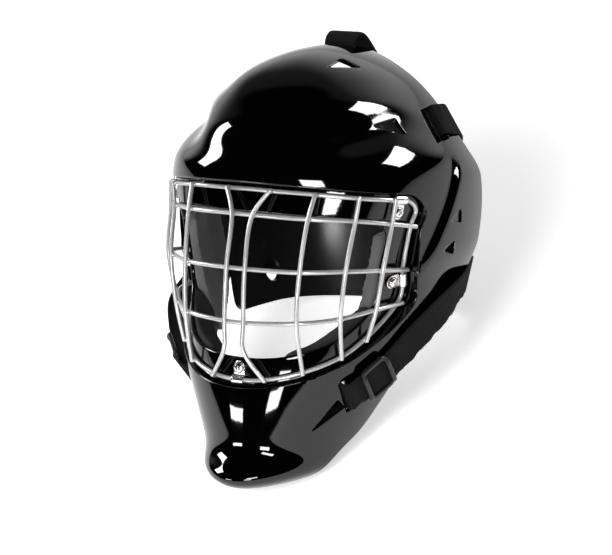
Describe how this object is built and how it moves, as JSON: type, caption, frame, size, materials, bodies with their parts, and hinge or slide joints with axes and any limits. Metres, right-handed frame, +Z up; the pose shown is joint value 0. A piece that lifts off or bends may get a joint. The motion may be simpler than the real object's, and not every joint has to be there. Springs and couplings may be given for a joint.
{
  "type": "hockey goalie mask",
  "caption": "Glossy moulded ice hockey goalie mask with a welded wire cage over the face, foam pads inside and a rear cup held on by elastic straps.",
  "frame": {"origin": "on the surface the mask lies on, under the middle of its length, in its middle plane", "axes": "+Z up, face towards -Y, the wearer's left towards +X; the mask is pitched back by 30.5 degrees, lying on the rim of its chin and the foot of its rear cup"},
  "size_m": [0.2278, 0.3086, 0.2447],
  "materials": {
    "shell": "black high gloss lacquer",
    "backplate": "black, inside satin",
    "cage": "bright plated steel wire",
    "clip": "bright plated steel",
    "screw": "bright plated steel, cross recess",
    "strap": "ribbed black elastic webbing",
    "slider": "black satin",
    "base_foam": "black closed-cell foam",
    "comfort_foam": "grey fabric over soft foam",
    "jaw_foam": "dark grey closed-cell foam"
  },
  "bodies": {
    "root": {"shell": "shell", "backplate": "backplate", "cage": "cage", "clip_top_right": "clip", "clip_top_left": "clip", "clip_mid_right": "clip", "clip_mid_left": "clip", "clip_bottom": "clip", "screw_top_right": "screw", "screw_top_left": "screw", "screw_mid_right": "screw", "screw_mid_left": "screw", "screw_bottom": "screw", "strap_top": "strap", "strap_upper_right": "strap", "strap_upper_left": "strap", "strap_lower_right": "strap", "strap_lower_left": "strap", "slider_right": "slider", "slider_left": "slider", "cheek_base_right": "base_foam", "cheek_base_left": "base_foam", "cheek_liner_right": "comfort_foam", "cheek_liner_left": "comfort_foam", "jaw_pad_right": "jaw_foam", "jaw_pad_left": "jaw_foam"}
  },
  "joints": []
}
